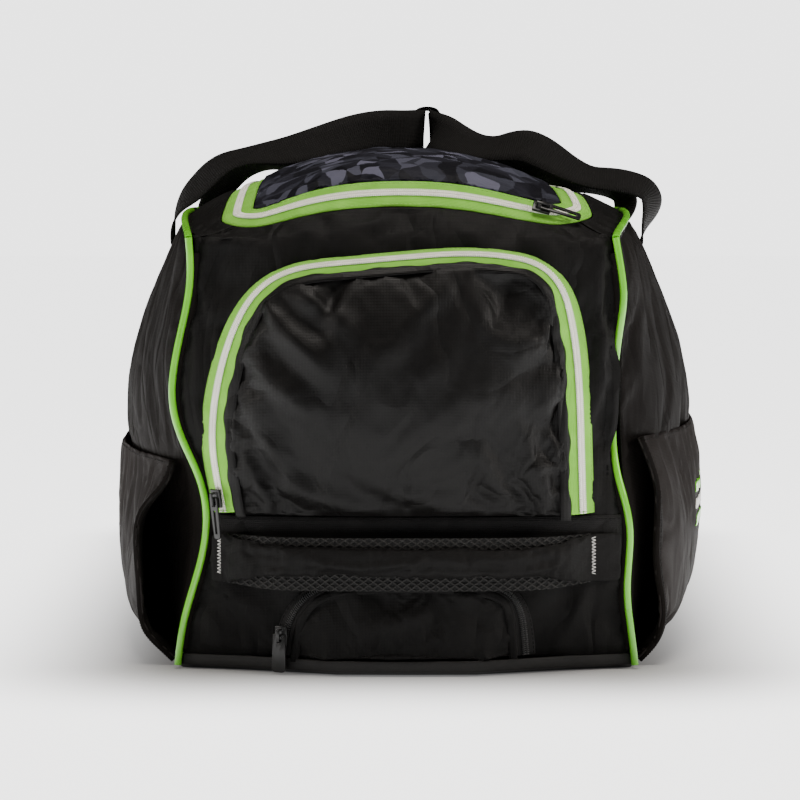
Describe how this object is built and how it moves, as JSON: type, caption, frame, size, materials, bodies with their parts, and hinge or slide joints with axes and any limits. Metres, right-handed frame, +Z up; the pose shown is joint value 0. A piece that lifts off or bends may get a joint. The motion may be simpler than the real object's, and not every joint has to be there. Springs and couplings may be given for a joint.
{
  "type": "cricket kit bag",
  "caption": "Soft stuffed duffle with a zipped lid, zipped end pockets, padded grab handle, open side pockets and joined carrying handles.",
  "frame": {"origin": "centre of the base between the end seams, on the floor", "axes": "+X right as the near end is seen, +Y along the bag away from the near end, +Z up"},
  "size_m": [0.4944, 0.9669, 0.4442],
  "materials": {
    "nylon": "black woven nylon, slightly lustrous",
    "green_piping": "bright green piping",
    "webbing": "black ribbed webbing",
    "base": "dark grey coated base cloth",
    "lid_print": "dark grey-blue nylon printed with facets",
    "green_tape": "yellow-green zip tape",
    "cream_coil": "cream zip coil",
    "black_tape": "black zip tape and coil",
    "gloss_nylon": "black crumpled nylon with more sheen",
    "mesh": "black spacer mesh",
    "metal": "black enamelled zip hardware"
  },
  "bodies": {
    "root": {"side_panel_left": "nylon", "piping_near_left": "green_piping", "piping_far_left": "green_piping", "piping_top_left": "green_piping", "side_pocket_left": "nylon", "pocket_hem_left": "webbing", "carry_handle_left": "webbing", "side_panel_right": "nylon", "piping_near_right": "green_piping", "piping_far_right": "green_piping", "piping_top_right": "green_piping", "side_pocket_right": "nylon", "pocket_hem_right": "webbing", "carry_handle_right": "webbing", "end_panel_near": "nylon", "end_panel_far": "nylon", "base_panel": "base", "top_border": "nylon", "lid_panel": "lid_print", "lid_zip_tape": "green_tape", "lid_zip_coil": "cream_coil", "lid_seam_binding": "black_tape", "upper_pocket_zip_tape": "green_tape", "upper_pocket_zip_coil": "cream_coil", "upper_pocket_face": "gloss_nylon", "lower_pocket_zip_tape": "black_tape", "lower_pocket_zip_coil": "black_tape", "lower_pocket_face": "nylon", "webbing_band": "webbing", "grab_handle": "nylon", "grab_handle_lining": "mesh", "hand_wrap": "webbing", "upper_pocket_slider": "metal", "upper_pocket_pull": "metal", "lower_pocket_slider": "metal", "lower_pocket_pull": "metal", "lid_slider": "metal", "lid_pull": "metal"}
  },
  "joints": []
}
